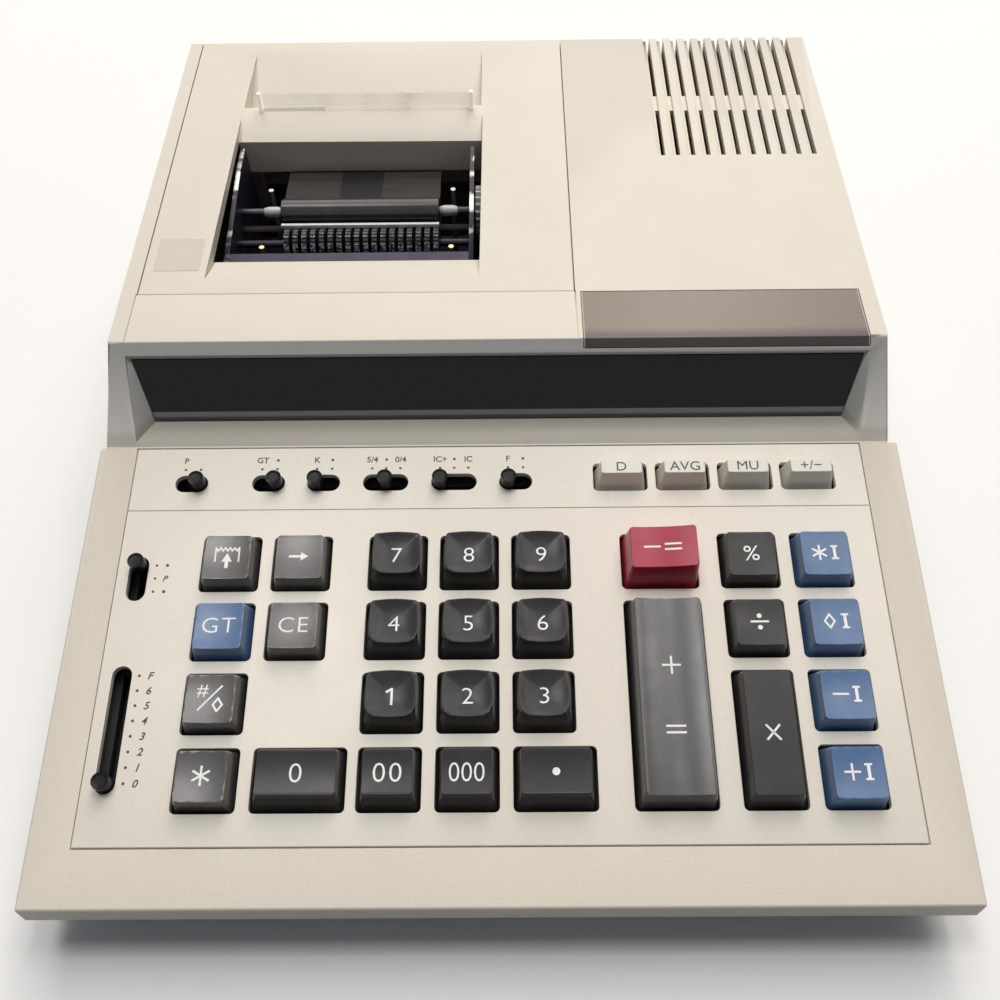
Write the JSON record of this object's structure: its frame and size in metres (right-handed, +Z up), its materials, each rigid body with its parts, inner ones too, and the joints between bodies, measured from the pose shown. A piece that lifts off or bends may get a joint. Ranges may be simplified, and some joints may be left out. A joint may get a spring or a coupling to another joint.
{
  "type": "desktop printing calculator",
  "caption": "Wedge-shaped desktop calculator with a sloping keyboard of square keys, small slide switches, a smoked display window and a recessed paper-strip printer under a lifting cover.",
  "frame": {"origin": "on the table, under the middle of the case", "axes": "+Y from the keyboard towards the rear wall, +X to the right of the person at the keys, +Z up"},
  "size_m": [0.2246, 0.284, 0.0794],
  "materials": {
    "case_plastic": "fine textured warm off-white moulding",
    "base_plastic": "matt dark moulding",
    "panel_paint": "smooth satin off-white panel with dark printed legends",
    "key_dark": "satin dark grey key plastic",
    "key_digit": "satin charcoal key plastic",
    "key_red": "satin crimson key plastic",
    "key_blue": "satin blue key plastic",
    "key_cream": "satin cream key plastic",
    "knob_plastic": "black knob plastic",
    "window_plastic": "glossy smoked window",
    "tube_glass": "display tube glass",
    "plate_metal": "brushed satin plate",
    "blade_plastic": "clear plastic blade",
    "frame_plastic": "black technical plastic",
    "chassis_steel": "plated sheet steel",
    "platen_rubber": "matt black rubber",
    "wheel_plastic": "dark moulded type wheels",
    "guide_sheet": "thin pressed sheet",
    "motor_steel": "plated motor can",
    "gear_plastic": "white acetal",
    "board_laminate": "green circuit laminate",
    "core_iron": "varnished laminations",
    "foot_rubber": "matt black rubber",
    "screw_steel": "zinc plated",
    "inlet_plastic": "black moulding"
  },
  "bodies": {
    "case": {"upper_case": "case_plastic", "lower_case": "base_plastic", "rubber_feet": "foot_rubber", "case_screws": "screw_steel", "keyboard_panel": "panel_paint", "key_frame": "frame_plastic", "circuit_board": "board_laminate", "display_window": "window_plastic", "display_tube": "tube_glass", "name_plate": "plate_metal", "printer_frame": "chassis_steel", "printer_motor": "motor_steel", "paper_guide": "guide_sheet", "transformer": "core_iron", "power_inlet": "inlet_plastic"},
    "key_paper_feed": {"key_paper_feed": "key_dark"},
    "key_backspace": {"key_backspace": "key_dark"},
    "key_grand_total": {"key_grand_total": "key_blue"},
    "key_clear_entry": {"key_clear_entry": "key_dark"},
    "key_number_subtotal": {"key_number_subtotal": "key_dark"},
    "key_total": {"key_total": "key_dark"},
    "key_percent": {"key_percent": "key_digit"},
    "key_divide": {"key_divide": "key_digit"},
    "key_memory_total": {"key_memory_total": "key_blue"},
    "key_memory_subtotal": {"key_memory_subtotal": "key_blue"},
    "key_memory_minus": {"key_memory_minus": "key_blue"},
    "key_memory_plus": {"key_memory_plus": "key_blue"},
    "key_00": {"key_00": "key_digit"},
    "key_000": {"key_000": "key_digit"},
    "key_0": {"key_0": "key_digit"},
    "key_point": {"key_point": "key_digit"},
    "key_minus_equals": {"key_minus_equals": "key_red"},
    "key_plus_equals": {"key_plus_equals": "key_digit"},
    "key_multiply": {"key_multiply": "key_digit"},
    "key_1": {"key_1": "key_digit"},
    "key_2": {"key_2": "key_digit"},
    "key_3": {"key_3": "key_digit"},
    "key_4": {"key_4": "key_digit"},
    "key_5": {"key_5": "key_digit"},
    "key_6": {"key_6": "key_digit"},
    "key_7": {"key_7": "key_digit"},
    "key_8": {"key_8": "key_digit"},
    "key_9": {"key_9": "key_digit"},
    "key_date": {"key_date": "key_cream"},
    "key_average": {"key_average": "key_cream"},
    "key_markup": {"key_markup": "key_cream"},
    "key_sign_change": {"key_sign_change": "key_cream"},
    "slide_power": {"slide_power": "knob_plastic"},
    "slide_grand_total": {"slide_grand_total": "knob_plastic"},
    "slide_constant": {"slide_constant": "knob_plastic"},
    "slide_rounding": {"slide_rounding": "knob_plastic"},
    "slide_item_counter": {"slide_item_counter": "knob_plastic"},
    "slide_add_mode": {"slide_add_mode": "knob_plastic"},
    "slide_print_mode": {"slide_print_mode": "knob_plastic"},
    "slide_decimal": {"slide_decimal": "knob_plastic"},
    "cover": {"printer_cover": "case_plastic", "tear_bar": "blade_plastic"},
    "platen": {"platen_roller": "platen_rubber"},
    "type_wheels": {"type_wheels": "wheel_plastic"},
    "motor_pinion": {"motor_pinion": "gear_plastic"}
  },
  "joints": [
    {"name": "press_paper_feed", "type": "slide", "parent": "case", "child": "key_paper_feed", "axis": [0, -0.1908, 0.9816], "range_m": [-0.003, 0], "stiffness_N_per_m": 150, "springref_m": 0.003},
    {"name": "press_backspace", "type": "slide", "parent": "case", "child": "key_backspace", "axis": [0, -0.1908, 0.9816], "range_m": [-0.003, 0], "stiffness_N_per_m": 150, "springref_m": 0.003},
    {"name": "press_grand_total", "type": "slide", "parent": "case", "child": "key_grand_total", "axis": [0, -0.1908, 0.9816], "range_m": [-0.003, 0], "stiffness_N_per_m": 150, "springref_m": 0.003},
    {"name": "press_clear_entry", "type": "slide", "parent": "case", "child": "key_clear_entry", "axis": [0, -0.1908, 0.9816], "range_m": [-0.003, 0], "stiffness_N_per_m": 150, "springref_m": 0.003},
    {"name": "press_number_subtotal", "type": "slide", "parent": "case", "child": "key_number_subtotal", "axis": [0, -0.1908, 0.9816], "range_m": [-0.003, 0], "stiffness_N_per_m": 150, "springref_m": 0.003},
    {"name": "press_total", "type": "slide", "parent": "case", "child": "key_total", "axis": [0, -0.1908, 0.9816], "range_m": [-0.003, 0], "stiffness_N_per_m": 150, "springref_m": 0.003},
    {"name": "press_percent", "type": "slide", "parent": "case", "child": "key_percent", "axis": [0, -0.1908, 0.9816], "range_m": [-0.003, 0], "stiffness_N_per_m": 150, "springref_m": 0.003},
    {"name": "press_divide", "type": "slide", "parent": "case", "child": "key_divide", "axis": [0, -0.1908, 0.9816], "range_m": [-0.003, 0], "stiffness_N_per_m": 150, "springref_m": 0.003},
    {"name": "press_memory_total", "type": "slide", "parent": "case", "child": "key_memory_total", "axis": [0, -0.1908, 0.9816], "range_m": [-0.003, 0], "stiffness_N_per_m": 150, "springref_m": 0.003},
    {"name": "press_memory_subtotal", "type": "slide", "parent": "case", "child": "key_memory_subtotal", "axis": [0, -0.1908, 0.9816], "range_m": [-0.003, 0], "stiffness_N_per_m": 150, "springref_m": 0.003},
    {"name": "press_memory_minus", "type": "slide", "parent": "case", "child": "key_memory_minus", "axis": [0, -0.1908, 0.9816], "range_m": [-0.003, 0], "stiffness_N_per_m": 150, "springref_m": 0.003},
    {"name": "press_memory_plus", "type": "slide", "parent": "case", "child": "key_memory_plus", "axis": [0, -0.1908, 0.9816], "range_m": [-0.003, 0], "stiffness_N_per_m": 150, "springref_m": 0.003},
    {"name": "press_00", "type": "slide", "parent": "case", "child": "key_00", "axis": [0, -0.1908, 0.9816], "range_m": [-0.003, 0], "stiffness_N_per_m": 150, "springref_m": 0.003},
    {"name": "press_000", "type": "slide", "parent": "case", "child": "key_000", "axis": [0, -0.1908, 0.9816], "range_m": [-0.003, 0], "stiffness_N_per_m": 150, "springref_m": 0.003},
    {"name": "press_0", "type": "slide", "parent": "case", "child": "key_0", "axis": [0, -0.1908, 0.9816], "range_m": [-0.003, 0], "stiffness_N_per_m": 150, "springref_m": 0.003},
    {"name": "press_point", "type": "slide", "parent": "case", "child": "key_point", "axis": [0, -0.1908, 0.9816], "range_m": [-0.003, 0], "stiffness_N_per_m": 150, "springref_m": 0.003},
    {"name": "press_minus_equals", "type": "slide", "parent": "case", "child": "key_minus_equals", "axis": [0, -0.1908, 0.9816], "range_m": [-0.003, 0], "stiffness_N_per_m": 150, "springref_m": 0.003},
    {"name": "press_plus_equals", "type": "slide", "parent": "case", "child": "key_plus_equals", "axis": [0, -0.1908, 0.9816], "range_m": [-0.003, 0], "stiffness_N_per_m": 150, "springref_m": 0.003},
    {"name": "press_multiply", "type": "slide", "parent": "case", "child": "key_multiply", "axis": [0, -0.1908, 0.9816], "range_m": [-0.003, 0], "stiffness_N_per_m": 150, "springref_m": 0.003},
    {"name": "press_1", "type": "slide", "parent": "case", "child": "key_1", "axis": [0, -0.1908, 0.9816], "range_m": [-0.003, 0], "stiffness_N_per_m": 150, "springref_m": 0.003},
    {"name": "press_2", "type": "slide", "parent": "case", "child": "key_2", "axis": [0, -0.1908, 0.9816], "range_m": [-0.003, 0], "stiffness_N_per_m": 150, "springref_m": 0.003},
    {"name": "press_3", "type": "slide", "parent": "case", "child": "key_3", "axis": [0, -0.1908, 0.9816], "range_m": [-0.003, 0], "stiffness_N_per_m": 150, "springref_m": 0.003},
    {"name": "press_4", "type": "slide", "parent": "case", "child": "key_4", "axis": [0, -0.1908, 0.9816], "range_m": [-0.003, 0], "stiffness_N_per_m": 150, "springref_m": 0.003},
    {"name": "press_5", "type": "slide", "parent": "case", "child": "key_5", "axis": [0, -0.1908, 0.9816], "range_m": [-0.003, 0], "stiffness_N_per_m": 150, "springref_m": 0.003},
    {"name": "press_6", "type": "slide", "parent": "case", "child": "key_6", "axis": [0, -0.1908, 0.9816], "range_m": [-0.003, 0], "stiffness_N_per_m": 150, "springref_m": 0.003},
    {"name": "press_7", "type": "slide", "parent": "case", "child": "key_7", "axis": [0, -0.1908, 0.9816], "range_m": [-0.003, 0], "stiffness_N_per_m": 150, "springref_m": 0.003},
    {"name": "press_8", "type": "slide", "parent": "case", "child": "key_8", "axis": [0, -0.1908, 0.9816], "range_m": [-0.003, 0], "stiffness_N_per_m": 150, "springref_m": 0.003},
    {"name": "press_9", "type": "slide", "parent": "case", "child": "key_9", "axis": [0, -0.1908, 0.9816], "range_m": [-0.003, 0], "stiffness_N_per_m": 150, "springref_m": 0.003},
    {"name": "press_date", "type": "slide", "parent": "case", "child": "key_date", "axis": [0, -0.1908, 0.9816], "range_m": [-0.003, 0], "stiffness_N_per_m": 150, "springref_m": 0.003},
    {"name": "press_average", "type": "slide", "parent": "case", "child": "key_average", "axis": [0, -0.1908, 0.9816], "range_m": [-0.003, 0], "stiffness_N_per_m": 150, "springref_m": 0.003},
    {"name": "press_markup", "type": "slide", "parent": "case", "child": "key_markup", "axis": [0, -0.1908, 0.9816], "range_m": [-0.003, 0], "stiffness_N_per_m": 150, "springref_m": 0.003},
    {"name": "press_sign_change", "type": "slide", "parent": "case", "child": "key_sign_change", "axis": [0, -0.1908, 0.9816], "range_m": [-0.003, 0], "stiffness_N_per_m": 150, "springref_m": 0.003},
    {"name": "switch_power", "type": "slide", "parent": "case", "child": "slide_power", "axis": [1, 0, 0], "range_m": [-0.004, 0]},
    {"name": "switch_grand_total", "type": "slide", "parent": "case", "child": "slide_grand_total", "axis": [1, 0, 0], "range_m": [-0.004, 0]},
    {"name": "switch_constant", "type": "slide", "parent": "case", "child": "slide_constant", "axis": [1, 0, 0], "range_m": [0, 0.004]},
    {"name": "switch_rounding", "type": "slide", "parent": "case", "child": "slide_rounding", "axis": [1, 0, 0], "range_m": [-0.00375, 0.00375]},
    {"name": "switch_item_counter", "type": "slide", "parent": "case", "child": "slide_item_counter", "axis": [1, 0, 0], "range_m": [0, 0.0075]},
    {"name": "switch_add_mode", "type": "slide", "parent": "case", "child": "slide_add_mode", "axis": [1, 0, 0], "range_m": [0, 0.004]},
    {"name": "switch_print_mode", "type": "slide", "parent": "case", "child": "slide_print_mode", "axis": [0, 0.9816, 0.1908], "range_m": [-0.0075, 0]},
    {"name": "switch_decimal", "type": "slide", "parent": "case", "child": "slide_decimal", "axis": [0, 0.9816, 0.1908], "range_m": [0, 0.02707]},
    {"name": "cover_hinge", "type": "hinge", "parent": "case", "child": "cover", "pos_m": [0, 0.139, 0.066], "axis": [-1, 0, 0], "range_deg": [0, 70]},
    {"name": "platen_spin", "type": "hinge", "parent": "case", "child": "platen", "pos_m": [0, 0.06739, 0.05891], "axis": [1, 0, 0], "continuous": true},
    {"name": "wheel_spin", "type": "hinge", "parent": "case", "child": "type_wheels", "pos_m": [0, 0.05493, 0.05601], "axis": [1, 0, 0], "continuous": true},
    {"name": "pinion_spin", "type": "hinge", "parent": "case", "child": "motor_pinion", "pos_m": [0, 0.07459, 0.05033], "axis": [1, 0, 0], "continuous": true}
  ],
  "couplings": [
    {"joint": "pinion_spin", "follows": "platen_spin", "ratio": -1.6667}
  ]
}
